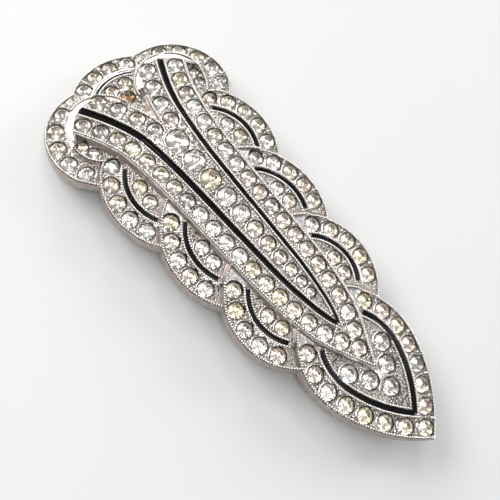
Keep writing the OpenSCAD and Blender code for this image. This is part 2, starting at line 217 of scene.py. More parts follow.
SPINE = [Vector(p) * CLIP for p in LEAF]
LEAF_LINE = spline(SPINE, 12)
LEAF_FINE = spline(SPINE, 24)
LINE_PATH = beside(LEAF_FINE, -LINE_IN)
leaf_places = places(between(LEAF_FINE, *LEAF_ROW), PITCH)
branch_places = places(between(beside(LEAF_FINE, -BRANCH_IN), *BRANCH_ROW), PITCH)
tip_places = places(between(tip_arc(ROW_EDGE), -1, TIP_ROW_TOP), STONE_D + TIP_GAP)
small_r = END_R - BEAD_W - SMALL_D / 2 - 2 * SEAT_GAP
small_step = 2 * math.degrees(math.asin((SMALL_D + STONE_GAP) / 2 / small_r))
small_places = [END + turn(a, small_r) for a in (SMALL_A, SMALL_A - small_step)]


def row_places(k):
    return places(arc(lobe_c(k), lobe_row(k), LOBES[k].first, LOBES[k].last), PITCH)


def inner_places(k):
    r = inner_r(k)
    step = 2 * math.degrees(math.asin((INNER_D + 2 * STONE_GAP) / 2 / r))
    return [lobe_c(k) + turn(a, r) for a in (LOBES[k].inner + step / 2, LOBES[k].inner - step / 2)]


def centre_dia(i):
    return CENTRE_D * (1 - (1 - CENTRE_TAPER) * i / (CENTRE_N - 1))


def centre_y(i):
    y = CENTRE_TOP
    for j in range(1, i + 1):
        y -= (centre_dia(j - 1) + centre_dia(j)) / 2 + CENTRE_GAP
    return y


# Every stone's seat: node, place, diameter, level of the metal round it
seats = []


def seat_row(node, row, d, z):
    seats.extend((node, p, d, z) for p in row)


def seat_pairs(node, row, d, z):
    """Seats on the right, each with its mirror image on the left; {} in the node's name is the side."""
    for p in row:
        seat_row(node.format("right"), [p], d, z)
        seat_row(node.format("left"), [Vector((-p.x, p.y))], d, z)


seat_pairs("leaf_stones_{}", leaf_places, STONE_D, LEAF_H)
seat_pairs("leaf_stones_{}", branch_places, STONE_D, BEND_Z)
for k in SIDES:
    seat_pairs("side_stones_{}", row_places(k), STONE_D, level(k))
    seat_pairs("side_stones_{}", inner_places(k), INNER_D, field_top(k))
seat_pairs("crown_stones", row_places(SHOULDER), STONE_D, level(SHOULDER))
seat_pairs("crown_stones", small_places, SMALL_D, END_TOP)
seat_pairs("tip_stones", tip_places[:-1], STONE_D, TIP_LEVEL)
tip_middle = Vector((0, TIP_INNER_Y))
tip_inner = [tip_middle + turn(TIP_INNER_A, i * TIP_INNER_STEP) for i in (1, 2)]
seat_pairs("tip_stones", tip_inner, TIP_D, TIP_TOP)
seat_row("crown_stones", row_places(CROWN), STONE_D, level(CROWN))
crown_low = lobe_c(CROWN) + Vector((0, inner_r(CROWN) - INNER_D - STONE_GAP))
seat_row("crown_stones", inner_places(CROWN) + [crown_low], INNER_D, field_top(CROWN))
seat_row("tip_stones", [Vector((0, tip_places[-1].y))], STONE_D, TIP_LEVEL)
seat_row("tip_stones", [tip_middle], TIP_D, TIP_TOP)
seat_row("tip_stones", [Vector((0, LEAF_LAST_Y))], STONE_D, LEAF_H)
for i in range(CENTRE_N):
    seat_row("centre_stone_%d" % (i + 1), [Vector((0, centre_y(i)))], centre_dia(i), BEND_Z)

BEND_LEN = 1.2  # length over which the crown's bend comes in
BEND_A = math.radians(CROWN_BEND)
TOP_Y = (BEND_Y + (lobe_c(CROWN).y + lobe_edge(CROWN) - BEND_Y) * math.cos(BEND_A)
         + (level(CROWN) + BEAD_H - BEND_Z) * math.sin(BEND_A))


def set_down(v):
    """Bends a flat-modelled point at the crown and moves it into the clip's own frame, in metres."""
    y, z = v.y, v.z
    if y > BEND_Y:
        dy, dz = y - BEND_Y, z - BEND_Z
        y = BEND_Y + dy * math.cos(BEND_A) + dz * math.sin(BEND_A) * min(1.0, dy / BEND_LEN)
        z = BEND_Z - dy * math.sin(BEND_A) + dz * math.cos(BEND_A)
    return Vector((v.x, y - TOP_Y / 2, z + SPRING_DROP)) * MM


# Mesh helpers

def new_piece(name, bm, mats=()):
    mesh = bpy.data.meshes.new(name)
    bm.to_mesh(mesh)
    bm.free()
    piece = bpy.data.objects.new(name, mesh)
    bpy.context.scene.collection.objects.link(piece)
    for m in mats:
        mesh.materials.append(m)
    return piece


def stack(bm, rings, mat=0, wall=None, caps=True):
    """Joins closed rings of equally many points, from the lowest to the highest, into a solid."""
    rows = [[bm.verts.new(p) for p in ring] for ring in rings]
    n = len(rows[0])
    made = []
    for a, b in zip(rows, rows[1:]):
        for i in range(n):
            j = (i + 1) % n
            made.append(bm.faces.new((a[i], a[j], b[j], b[i])))
    if caps:
        made.append(bm.faces.new(list(reversed(rows[0]))))
        made.append(bm.faces.new(rows[-1]))
    for i, f in enumerate(made):
        f.material_index = wall if wall is not None and i < n else mat
    return rows


def sweep(bm, rows, finish, cap=0):
    """Joins rows of points along a line into a closed bar; finish(row, edge) gives each face's finish."""
    for r, (a, b) in enumerate(zip(rows, rows[1:])):
        for i in range(len(a)):
            j = (i + 1) % len(a)
            bm.faces.new((a[i], b[i], b[j], a[j])).material_index = finish(r, i)
    bm.faces.new(rows[0]).material_index = cap
    bm.faces.new(list(reversed(rows[-1]))).material_index = cap


def mirrored(points):
    return [Vector((-p.x, p.y)) for p in points]


def mirror(bm):
    for v in bm.verts:
        v.co.x = -v.co.x


def shade_smooth(piece, sharp=None):
    """Smooth shading, with edges steeper than the angle sharp kept crisp."""
    for f in piece.data.polygons:
        f.use_smooth = True
    if sharp:
        piece.data.set_sharp_from_angle(angle=math.radians(sharp))


def circle(c, r, z, n):
    return [Vector((c.x + r * math.cos(2 * math.pi * i / n), c.y + r * math.sin(2 * math.pi * i / n), z))
            for i in range(n)]


def disc(bm, c, r, z0, z1, ease=0.1, mat=0):
    """A round slab whose upper edge is eased off."""
    rings = [circle(c, r, z0, ROUND_N), circle(c, r, z1 - ease, ROUND_N)]
    for a in [math.radians(t) for t in (30, 60, 90)]:
        rings.append(circle(c, r - ease + ease * math.cos(a), z1 - ease + ease * math.sin(a), ROUND_N))
    stack(bm, rings, mat, WALL_MAT)


def ring(bm, c, r, w, a0, a1, z0, z1, ease, mat):
    """A ridge along an arc."""
    n = max(6, int(abs(a1 - a0) * r / 14))
    ridge(bm, arc(c, r, a0, a1, n), w, w, z0, z1, ease, mat)


def ridge(bm, line, w0, w1, z0, z1, ease, mat):
    """A ridge along a line, tapering from width w0 to w1, with eased edges."""
    n = len(line) - 1
    rows = []
    for i, p in enumerate(line):
        w = w0 + (w1 - w0) * i / n
        s = across(line, i)
        h = w / 2
        profile = [(-h, z0), (-h, z1 - ease), (-h + ease * 0.3, z1 - ease * 0.3), (-h + ease, z1),
                   (h - ease, z1), (h - ease * 0.3, z1 - ease * 0.3), (h, z1 - ease), (h, z0)]
        rows.append([bm.verts.new(Vector((p.x + s.x * u, p.y + s.y * u, z))) for u, z in profile])
    sweep(bm, rows, lambda row, edge: mat, mat)


def prism(bm, outline, z0, z1, ease, mat=0):
    """A slab over an outline, with its upper edge eased off."""
    n = len(outline)
    area = sum(a.x * b.y - b.x * a.y for a, b in zip(outline, outline[1:] + outline[:1]))
    pts = list(outline) if area > 0 else list(reversed(outline))
    inward = []
    for i in range(n):
        e0 = (pts[i] - pts[i - 1]).normalized()
        e1 = (pts[(i + 1) % n] - pts[i]).normalized()
        n0, n1 = Vector((-e0.y, e0.x)), Vector((-e1.y, e1.x))
        b = n0 + n1
        inward.append(b / max(b.length_squared / 2, 0.6))

    def lay(d, z):
        return [Vector((p.x + q.x * d, p.y + q.y * d, z)) for p, q in zip(pts, inward)]

    stack(bm, [lay(0, z0), lay(0, z1 - ease), lay(ease * 0.3, z1 - ease * 0.3), lay(ease, z1)], mat, WALL_MAT)


def both(build, *values):
    """Builds a right-hand solid and its mirror image as two objects."""
    out = []
    for side in (1, -1):
        bm = bmesh.new()
        build(bm, *values)
        if side < 0:
            mirror(bm)
            bmesh.ops.reverse_faces(bm, faces=bm.faces)
        bmesh.ops.recalc_face_normals(bm, faces=bm.faces)
        out.append(new_piece("shape", bm, PLATE_METALS))
    return out


def single(build, *values):
    """Builds a solid on the middle line."""
    bm = bmesh.new()
    build(bm, *values)
    bmesh.ops.recalc_face_normals(bm, faces=bm.faces)
    return [new_piece("shape", bm, PLATE_METALS)]


def combine(base, others, operation):
    """Joins or cuts solids with Blender's boolean, keeping each face's finish."""
    for o in others:
        mod = base.modifiers.new("shape", "BOOLEAN")
        mod.operation, mod.solver, mod.object = operation, "MANIFOLD", o
        dg = bpy.context.evaluated_depsgraph_get()
        mesh = bpy.data.meshes.new_from_object(base.evaluated_get(dg), depsgraph=dg)
        base.modifiers.clear()
        old = base.data
        base.data = mesh
        bpy.data.meshes.remove(old)
        bpy.data.objects.remove(o)
    return base


# Finishes

def group_socket(group, name, kind, out=False, value=None):
    way = "OUTPUT" if out else "INPUT"
    s = group.interface.new_socket(name=name, in_out=way, socket_type="NodeSocket" + kind)
    if value is not None:
        s.default_value = value


def add_node(nodes, kind, **settings):
    """A new shader node with its settings, such as its operation."""
    node = nodes.new("ShaderNode" + kind)
    for name, value in settings.items():
        setattr(node, name, value)
    return node


def set_values(node, values):
    for socket, value in values.items():
        node.inputs[socket].default_value = value


def cast_grain_group():
    """Fine pits and lumps left by the mould; the colour darkens in the pits, in cloudy patches."""
    g = bpy.data.node_groups.new("cast grain", "ShaderNodeTree")
    for name, value in (("Grain size", 3000.0), ("Grain depth", 0.5), ("Pit_darkening", 0.5),
                        ("Smooth roughness", 0.2), ("Rough roughness", 0.5)):
        group_socket(g, name, "Float", value=value)
    for name, value in (("Bright", (0.8, 0.8, 0.8, 1)), ("Dark", (0.3, 0.3, 0.3, 1))):
        group_socket(g, name, "Color", value=value)
    group_socket(g, "Colour", "Color", out=True)
    group_socket(g, "Roughness", "Float", out=True)
    group_socket(g, "Height", "Float", out=True)
    n, link = g.nodes, g.links.new

    def maths(operation, *values, clamp=False):
        """A math node worked out from numbers and other nodes' outputs."""
        node = add_node(n, "Math", operation=operation, use_clamp=clamp)
        for socket, value in zip(node.inputs, values):
            if isinstance(value, float):
                socket.default_value = value
            else:
                link(value, socket)
        return node.outputs[0]

    inp, out = n.new("NodeGroupInput"), n.new("NodeGroupOutput")
    coord = add_node(n, "TexCoord")
    lumps, pits, clouds = add_node(n, "TexNoise"), add_node(n, "TexVoronoi"), add_node(n, "TexNoise")
    set_values(lumps, {"Detail": 4.0, "Roughness": 0.6})
    set_values(clouds, {"Scale": 260.0, "Detail": 3.0})
    for t in (lumps, pits, clouds):
        link(coord.outputs["Object"], t.inputs["Vector"])
    link(inp.outputs["Grain size"], lumps.inputs["Scale"])
    link(inp.outputs["Grain size"], pits.inputs["Scale"])
    high = add_node(n, "MapRange")
    set_values(high, {"From Min": 0.74, "From Max": 1.16})
    link(maths("ADD", lumps.outputs["Fac"], pits.outputs["Distance"]), high.inputs["Value"])
    # The colour darkens where the grain is low, in patches set by a cloud noise
    low = maths("SUBTRACT", 1.0, high.outputs[0])
    pit_patches = maths("MULTIPLY_ADD", clouds.outputs["Fac"], 1.1, -0.1)
    pit_darkening = maths("MULTIPLY", low, pit_patches, clamp=True)
    amount = maths("MULTIPLY", pit_darkening, inp.outputs["Pit_darkening"], clamp=True)
    colour = add_node(n, "Mix", data_type="RGBA")
    link(amount, colour.inputs["Factor"])
    link(inp.outputs["Bright"], colour.inputs[6])
    link(inp.outputs["Dark"], colour.inputs[7])
    rough = add_node(n, "Mix", data_type="FLOAT")
    link(amount, rough.inputs["Factor"])
    link(inp.outputs["Smooth roughness"], rough.inputs[2])
    link(inp.outputs["Rough roughness"], rough.inputs[3])
    link(colour.outputs[2], out.inputs["Colour"])
    link(rough.outputs[0], out.inputs["Roughness"])
    link(maths("MULTIPLY", high.outputs[0], inp.outputs["Grain depth"]), out.inputs["Height"])
    return g


GRAIN = cast_grain_group()


def new_material(name):
    m = bpy.data.materials.new(name)
    m.use_nodes = True
    nodes = m.node_tree.nodes
    return m, nodes, m.node_tree.links.new, nodes["Principled BSDF"]


def grained(n, link, shader, size, depth, bright, dark, pit_darkening, smooth, rough, bump, bump_depth):
    """Puts the cast grain on a shader: its roughness and its bump. Its colour is left to the caller."""
    g = add_node(n, "Group", node_tree=GRAIN)
    set_values(g, {"Grain size": size, "Grain depth": depth, "Bright": bright, "Dark": dark,
                   "Pit_darkening": pit_darkening, "Smooth roughness": smooth, "Rough roughness": rough})
    b = add_node(n, "Bump")
    set_values(b, {"Strength": bump, "Distance": bump_depth})
    link(g.outputs["Height"], b.inputs["Height"])
    link(g.outputs["Roughness"], shader.inputs["Roughness"])
    link(b.outputs["Normal"], shader.inputs["Normal"])
    return g


def plated_metal(name, size, depth, bright, dark, pit_darkening, smooth, rough, bump, shade_bead_feet=False):
    """Plated casting metal; the last argument lets the mesh's colour layer paint shade on the feet of its
    beads.
    """
    m, n, link, shader = new_material(name)
    shader.inputs["Metallic"].default_value = 1.0
    g = grained(n, link, shader, size, depth, (*bright, 1), (*dark, 1), pit_darkening, smooth, rough, bump, 0.00006)
    colour = g.outputs["Colour"]
    # Painted shade: the beads' colour layer darkens their feet
    if shade_bead_feet:
        mix = add_node(n, "Mix", data_type="RGBA", blend_type="MULTIPLY")
        mix.inputs["Factor"].default_value = 1.0
        bead_shade_tone = add_node(n, "VertexColor", layer_name="painted_bead_shade")
        link(colour, mix.inputs[6])
        link(bead_shade_tone.outputs["Color"], mix.inputs[7])
        colour = mix.outputs[2]
    link(colour, shader.inputs["Base Color"])
    return m


# Columns: grain size and depth, bright and dark colour, darkening in the pits, smooth and rough roughness,
# bump
bed_metal = plated_metal(
    "pitted plated metal", 3600.0, 1.0, (0.62, 0.575, 0.525), (0.07, 0.062, 0.053), 2.4, 0.20, 0.45, 1.0)
rim_metal = plated_metal(
    "smooth plated metal", 1600.0, 0.5, (0.82, 0.79, 0.765), (0.40, 0.375, 0.35), 0.8, 0.16, 0.34, 0.3)
# Bead metal, with painted shade at the feet of its beads
bead_metal = plated_metal(
    "milled border metal", 2600.0, 0.5, (0.97, 0.945, 0.92), (0.55, 0.53, 0.50), 0.5, 0.24, 0.40, 0.2,
    shade_bead_feet=True)
# Painted shade: a dark copy of the plated metal for the seat walls round each stone
seat_shade_metal = plated_metal(
    "painted_shade seat metal", 2600.0, 0.8, (0.15, 0.135, 0.11), (0.03, 0.027, 0.024), 1.5, 0.30, 0.5, 0.6)
# Painted reflection and shade: a darker, reddish-brown copy of the plated metal for the side walls, standing
# for a red surface reflected in them
wall_reflection_metal = plated_metal(
    "side wall metal", 1400.0, 0.5, (0.50, 0.425, 0.385), (0.24, 0.20, 0.175), 0.8, 0.30, 0.5, 0.3)
# Rubbed high points: a brighter copy of the plated metal, partly wear and partly a painted highlight
rubbed_highlight_metal = plated_metal(
    "rubbed metal with painted highlight", 2200.0, 0.8, (0.95, 0.925, 0.90), (0.34, 0.32, 0.30), 1.3, 0.26, 0.46, 0.6)
spring_metal = plated_metal(
    "spring metal", 900.0, 0.4, (0.72, 0.71, 0.70), (0.38, 0.36, 0.34), 0.6, 0.24, 0.42, 0.2)


def enamel_finish():
    m, n, link, shader = new_material("black enamel")
    g = grained(n, link, shader, 2400.0, 0.6, (0.0012, 0.0012, 0.0014, 1), (0.008, 0.008, 0.009, 1),
                1.0, 0.10, 0.3, 0.3, 0.00003)
    link(g.outputs["Colour"], shader.inputs["Base Color"])
    set_values(shader, {"Specular IOR Level": 0.25, "Coat Weight": 0.1, "Coat Roughness": 0.08})
    return m


def paste_glass():
    m, n, link, shader = new_material("clear paste")
    set_values(shader, {"Base Color": (1, 1, 1, 1), "Transmission Weight": 1.0, "Metallic": 0.0,
                        "IOR": 1.6, "Roughness": 0.015})
    return m


def foil_back():
    """The coloured foil behind each paste: its tint is kept on the stone itself."""
    m, n, link, shader = new_material("foil back")
    tint = add_node(n, "VertexColor", layer_name="foil_tint")
    coord, clouds = add_node(n, "TexCoord"), add_node(n, "TexNoise")
    set_values(clouds, {"Scale": 1500.0, "Detail": 2.0})
    link(coord.outputs["Object"], clouds.inputs["Vector"])
    rough = add_node(n, "MapRange")
    set_values(rough, {"From Min": 0.35, "From Max": 0.7, "To Min": 0.05, "To Max": 0.16})
    link(clouds.outputs["Fac"], rough.inputs["Value"])
    link(tint.outputs["Color"], shader.inputs["Base Color"])
    link(rough.outputs[0], shader.inputs["Roughness"])
    shader.inputs["Metallic"].default_value = 0.86
    return m


enamel = enamel_finish()
glass, foil = paste_glass(), foil_back()
GLASS_MAT, FOIL_MAT = 0, 1

# The cast plate

PLATE_METALS = (rim_metal, bed_metal, seat_shade_metal, wall_reflection_metal, rubbed_highlight_metal)
SMOOTH_MAT, BED_MAT, SEAT_SHADE_MAT, WALL_MAT, RUBBED_HIGHLIGHT_MAT = 0, 1, 2, 3, 4
THIN_W = ARC_W - 0.2
END_DROP = 0.22
RIM_TOP, RIM_EASE = 0.05, 0.1
TIP_W = ARC_W + 0.14
THIN_R = enamel_r(CROWN) - 0.1
CROWN_FIRST, CROWN_LAST = LOBES[CROWN].line_first, LOBES[CROWN].line_last
LEAF_FROM, PAST_CLIP = 0.25 * CLIP, 1.1 * CLIP
LEAF_LOW, PANEL_LOW, TIP_BACK = 0.3 * CLIP, 0.35 * CLIP, Vector((0, 0.34 * CLIP))
LEAF_SIDE = [p for p in beside(LEAF_LINE, ROW_EDGE) if p.y > LEAF_FROM]
LEAF_TIP = Vector((0, 0.1715 * CLIP))
LEAF_EDGE = spread([LEAF_TIP + (LEAF_TIP - LEAF_SIDE[0]) * 0.2, LEAF_SIDE[0]], 16)[:-1] + LEAF_SIDE
INNER_EDGE = between(beside(LEAF_LINE, -BRANCH_IN - ROW_EDGE), BEND_Y, PAST_CLIP)


def leaf_outline(outer, low_y):
    """A leaf's outer edge, closed along its inner edge and just past the middle."""
    return outer + list(reversed(INNER_EDGE)) + [Vector((0.0, BEND_Y + 2)), Vector((-1, low_y))]


def leaf_bounds(bm):
    """What a leaf is cut to: right of the middle, and inside its rounded end."""
    pts = [Vector((0, 0)), Vector((CLIP, 0)), Vector((CLIP, END.y))]
    r = END_R - END_RIM
    pts += [END + turn(a, r) for a in range(0, 181, 3)]
    pts += [Vector((0, END.y))]
    prism(bm, pts, -1, 9, 0.001)


def leaf_slab(bm, outer, z1, mat, low_y):
    prism(bm, leaf_outline(outer, low_y), ROOT_LOW, z1, 0.07, mat)


def leaf_skirt(bm):
    """The leaf's smooth lip and its sloping side wall."""
    # How far each ring lies outside the leaf's edge, and its level
    profile = ((0.45, ROOT_HIGH), (0.45, 1.5), (0.2, LEAF_H - 0.25), (0.13, LEAF_H - 0.06),
               (0.05, LEAF_H + 0.03), (-0.06, LEAF_H + 0.03))
    stack(bm, [[Vector((*q, z)) for q in leaf_outline(beside(LEAF_EDGE, d), LEAF_LOW)] for d, z in profile],
          WALL_MAT)
    # The lip's top takes the brighter rubbed metal: wear and a painted highlight
    for f in bm.faces:
        if min(v.co.z for v in f.verts) > LEAF_H - 0.1:
            f.material_index = RUBBED_HIGHLIGHT_MAT


def overlap(solids, others):
    """What each solid shares with the one beside it in the other list."""
    return [combine(a, [b], "INTERSECT") for a, b in zip(solids, others)]


def clipped(build, *values):
    return overlap(both(build, *values), both(leaf_bounds))


def tip_slab(bm, inset, z1, mat):
    right = tip_arc(inset)
    left = mirrored(reversed(right[:-1]))
    pts = [TIP_BACK] + [p for p in right if p.x >= 0] + [p for p in left if p.x <= 0]
    prism(bm, pts, 0.0, z1, 0.09, mat)


def round_slab(k, r, z0, z1, ease=0.1):
    """A lobe's slab: one in the middle for the crown, a pair for the others."""
    build = single if k == CROWN else both
    return build(disc, lobe_c(k), r, z0, z1, ease, BED_MAT)


base = round_slab(CROWN, lobe_edge(CROWN), 0, level(CROWN))[0]
solids = []
for k in (SHOULDER,) + SIDES:
    solids += round_slab(k, lobe_edge(k), 0, level(k))
solids += single(tip_slab, 0.0, TIP_LEVEL, BED_MAT)
for k in SIDES + (CROWN,):
    solids += round_slab(k, field_r(k), ROOT, field_top(k), 0.05)
for k in SIDES:
    past = math.degrees(BEAD_W / enamel_r(k))
    solids += both(ring, lobe_c(k), field_r(k) + BEAD_W / 2, BEAD_W, LOBES[k].line_first + past,
                   LOBES[k].line_last - past, ROOT_HIGH, field_top(k) + RIM_TOP, RIM_EASE, SMOOTH_MAT)
solids += single(ring, lobe_c(CROWN), field_r(CROWN) + BEAD_W / 2 - 0.1, BEAD_W + 0.2, CROWN_FIRST + 4,
                 CROWN_LAST - 4, ROOT_HIGH, field_top(CROWN) + RIM_TOP, RIM_EASE, SMOOTH_MAT)
solids += single(tip_slab, TIP_FIELD_IN, TIP_TOP, BED_MAT)
solids += both(ridge, tip_arc(TIP_FIELD_IN - BEAD_W / 2), BEAD_W, BEAD_W, ROOT_HIGH, TIP_TOP + RIM_TOP,
               RIM_EASE, SMOOTH_MAT)
solids += both(disc, END, END_R, ROOT, END_TOP, 0.1, BED_MAT)


def end_rim(bm):
    """The smooth sloping rim round a leaf end, widest at the outer side and dying out below."""
    first, last, steps, fading, wall_rows = 158, 2, 40, 9, 9
    rows = []
    for i in range(steps + 1):
        a = first + (last - first) * i / steps
        fade = min(1.0, (steps - i) / fading)
        outer = END_R - BEAD_W * 0.9
        inner = END_R - END_RIM * (0.45 + 0.55 * fade) - 0.02
        top, low = LEAF_H - 0.02, LEAF_H - END_DROP
        slope = [(inner + (outer - inner) * t, top + (low - top) * (0.7 * t + 0.3 * t * t))
                 for t in (0, 0.25, 0.5, 0.75, 1)]
        profile = [(inner - 0.3, ROOT_HIGH), (inner - 0.3, top - 0.05)] + slope
        profile += [(END_R - 0.02, low - 0.06), (END_R - 0.02, ROOT_HIGH)]
        rows.append([bm.verts.new(Vector((*(END + turn(a, r)), z))) for r, z in profile])
    sweep(bm, rows, lambda row, edge: WALL_MAT if row < wall_rows else SMOOTH_MAT)


solids += both(end_rim)
BAND_W, BAND_H, UNDER_IN = 0.32, 0.22, 0.06


def rise(behind, p):
    """How far a lobe that lies over the one behind it stands up at a place of its rim."""
    ramp = 0.5
    far = (p - lobe_c(behind)).length
    up = BAND_H * min(1.0, max(0.0, (lobe_edge(behind) - UNDER_IN - far) / ramp))
    if behind in SIDES:
        up += FIELD_RISE * min(1.0, max(0.0, (field_r(behind) + 0.25 - far) / ramp))
    return up


def overlap_band(bm, behind, c, r, a0, a1, high):
    """The smooth rim and sloping foot where a lobe's edge lies over the lobe behind it."""
    steps, top_edges = 60, 2
    rows = []
    for i in range(steps + 1):
        a = a0 + (a1 - a0) * i / steps
        up = rise(behind, c + turn(a, r))
        field_up = max(0.0, up - BAND_H)
        profile = [(r - 0.42, ROOT), (r - 0.42, high + field_up - 0.02), (r - 0.3, high + up - 0.02),
                   (r - 0.02, high + up), (r + BAND_W, level(behind) + field_up + 0.01), (r + BAND_W, ROOT)]
        rows.append([bm.verts.new(Vector((*(c + turn(a, q)), z))) for q, z in profile])
    # The band's top takes the brighter rubbed metal (wear and a painted highlight); its foot takes the wall
    # metal
    sweep(bm, rows, lambda row, edge: WALL_MAT if edge > top_edges else RUBBED_HIGHLIGHT_MAT)


def cone(bm, c, profile, n, mat):
    """A round solid from a table of radius and level."""
    stack(bm, [circle(c, r, z, n) for r, z in profile], mat)


def shoulder(bm, behind, here):
    """The rounded slope from the raised field behind down to a lobe's own level."""
    r, top = field_r(behind), here + FIELD_RISE
    profile = ((r + 0.6, ROOT_LOW), (r + 0.6, here), (r + 0.45, here + 0.05), (r + 0.2, here + 0.25),
               (r - 0.1, top - 0.06), (r - 0.4, top))
    # The slope takes the brighter rubbed metal: wear and a painted highlight
    cone(bm, lobe_c(behind), profile, ROUND_N, RUBBED_HIGHLIGHT_MAT)


def lay_over(behind, here, c, r, a0, a1):
    """The rim and the shoulder of a round lobe that lies over the lobe behind it."""
    under = both(disc, lobe_c(behind), lobe_edge(behind) - UNDER_IN, ROOT_LOW, ABOVE)
    out = overlap(both(overlap_band, behind, c, r, a0, a1, here), under)
    if behind in SIDES:
        out += overlap(both(shoulder, behind, here), both(disc, c, r - 0.05, 0.5, ABOVE))
    return out


BAND_FIRST, BAND_LAST, TIP_BAND_FIRST = 175, 15, 62
for k in SIDES:
    solids += lay_over(k - 1, level(k), lobe_c(k), lobe_edge(k), BAND_FIRST, BAND_LAST)
solids += lay_over(SIDES[-1], TIP_LEVEL, SHOULDER_C, SHOULDER_R, TIP_BAND_FIRST, JOIN_A)
solids += clipped(leaf_skirt)
solids += clipped(leaf_slab, beside(LEAF_EDGE, 0.02), LEAF_H + 0.04, BED_MAT, LEAF_LOW)
panel_edge = between(beside(LEAF_LINE, -LINE_IN), LEAF_FROM, PAST_CLIP)
solids += clipped(leaf_slab, panel_edge, BEND_Z, BED_MAT, PANEL_LOW)

# The smooth web of metal between the leaf's point and the tip's inner stones
WEB, WEB_TOP = Vector((0, 0.1545 * CLIP)), TIP_TOP + 0.16
WEB_ARM = [WEB, Vector((0.75, 9.26)), Vector((1.4, 8.8))]
WEB_STEM = [LEAF_TIP + Vector((0, 0.6)), WEB + Vector((0, 0.4)), WEB]
# The web takes the brighter rubbed metal: wear and a painted highlight
solids += single(ridge, WEB_STEM, 0.5, 0.8, ROOT_HIGH, WEB_TOP + 0.1, 0.24, RUBBED_HIGHLIGHT_MAT)
solids += both(ridge, WEB_ARM, 0.7, 0.3, ROOT_HIGH, WEB_TOP, 0.14, RUBBED_HIGHLIGHT_MAT)
plate = combine(base, solids, "UNION")

# Raised collars round the seats
collars = []
for _, p, d, z in seats:
    profile = ((d / 2 + 0.16, z - 0.25), (d / 2 + 0.13, z + 0.02), (d / 2 + 0.085, z + 0.05))
    collars += single(cone, p, profile, SEAT_N, SMOOTH_MAT)
plate = combine(plate, collars, "UNION")


# The cutter leaves its faces as the seat walls, in the dark seat metal: painted shade in the gap round each
# stone
def seat_cutter(bm, p, d, z):
    r = d / 2
    cone(bm, p, ((r * 0.3, z - 0.51 * d), (r + 0.035, z - 0.16 * d), (r + 0.05, z), (r + 0.07, z + 0.07),
                 (r + 0.1, z + 2)), SEAT_N, SEAT_SHADE_MAT)


bm = bmesh.new()
for _, p, d, z in seats:
    seat_cutter(bm, p, d, z)
bmesh.ops.recalc_face_normals(bm, faces=bm.faces)
combine(plate, [new_piece("seats", bm, PLATE_METALS)], "DIFFERENCE")


def channel(bm, line, w0, w1, top):
    """The channel of an enamel line whose top lies at a level."""
    ridge(bm, line, w0, w1, top - ENAMEL_T, ABOVE, 0.001, SMOOTH_MAT)


inside_end = [p for p in LINE_PATH if p.y < END.y or (p - END).length < END_R - END_RIM]
start = next(i for i, p in enumerate(inside_end) if p.x > -0.1)
long_line = inside_end[start:]
TIP_LINE = TIP_FIELD_IN + ARC_W / 2
ARC_N = 28
cutters = both(channel, long_line, LINE_LOW_W, LINE_TOP_W, LEAF_H)
for k in SIDES:
    cutters += both(channel, line_arc(k, enamel_r(k), ARC_N), ARC_W, ARC_W, field_top(k))
cutters += single(channel, line_arc(CROWN, THIN_R, ARC_N), THIN_W, THIN_W, field_top(CROWN))
cutters += both(channel, tip_arc(TIP_LINE), TIP_W, TIP_W, TIP_TOP)
combine(plate, cutters, "DIFFERENCE")


# Shaping: the crown's bend, then the clip's own frame

def finish_shape(piece, cuts=True):
    """Bends a piece and sets it down; cuts adds edges across it, so that the bend is smooth."""
    bm = bmesh.new()
    bm.from_mesh(piece.data)
    if cuts:
        for share in (-1, -0.5, 0, 0.5, 1):
            place = (0, BEND_Y + share * BEND_LEN, 0)
            geom = bm.verts[:] + bm.edges[:] + bm.faces[:]
            bmesh.ops.bisect_plane(bm, geom=geom, plane_co=place, plane_no=(0, 1, 0))
    for v in bm.verts:
        v.co = set_down(v.co)
    bm.to_mesh(piece.data)
    bm.free()


finish_shape(plate)
plate.name = "cast_plate"
shade_smooth(plate, 32)
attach(plate, "root")
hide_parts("plate")


# Milled borders and the grains between the stones

def within(p, outline):
    """Whether a place lies inside an outline."""
    hit = False
    for i, b in enumerate(outline):
        a = outline[i - 1]
        if (a.y > p.y) != (b.y > p.y) and p.x < (b.x - a.x) * (p.y - a.y) / (b.y - a.y) + a.x:
            hit = not hit
    return hit


LEAF_AREA = leaf_outline(LEAF_EDGE, LEAF_LOW)
PANEL_AREA = leaf_outline(panel_edge, PANEL_LOW)
TIP_RIM = arc(SHOULDER_C, SHOULDER_R, TIP_BAND_FIRST, SHOULDER_A + 2, 12) + tip_arc(0)
TIP_AREA = TIP_RIM + [TIP_BACK]
TIP_FIELD = tip_arc(TIP_FIELD_IN) + [TIP_BACK]


def surface(point):
    """The uppermost part of the casting over a place, and its height."""
    p = Vector((abs(point.x), point.y))
    end = (p - END).length
    if p.y < END.y or end < END_R - END_RIM:
        if within(p, PANEL_AREA):
            return "panel", BEND_Z
        if within(p, LEAF_AREA):
            return "leaf", LEAF_H
    if end < END_R:
        return "end", END_TOP
    if within(p, TIP_FIELD):
        return "tip field", TIP_TOP
    if within(p, TIP_AREA):
        return "tip", TIP_LEVEL + (FIELD_RISE if rise(SIDES[-1], p) > BAND_H else 0.0)
    found = [("", 0.0)]
    for k in range(len(LOBES)):
        far = (p - lobe_c(k)).length
        if k != SHOULDER and far < field_r(k):
            found.append(("field %d" % k, field_top(k)))
        if far < lobe_edge(k):
            up = rise(k - 1, p) if k in SIDES[1:] else 0.0
            found.append(("lobe %d" % k, level(k) + (FIELD_RISE + 0.001 if up > BAND_H else 0.0)))
    return max(found, key=lambda f: f[1])


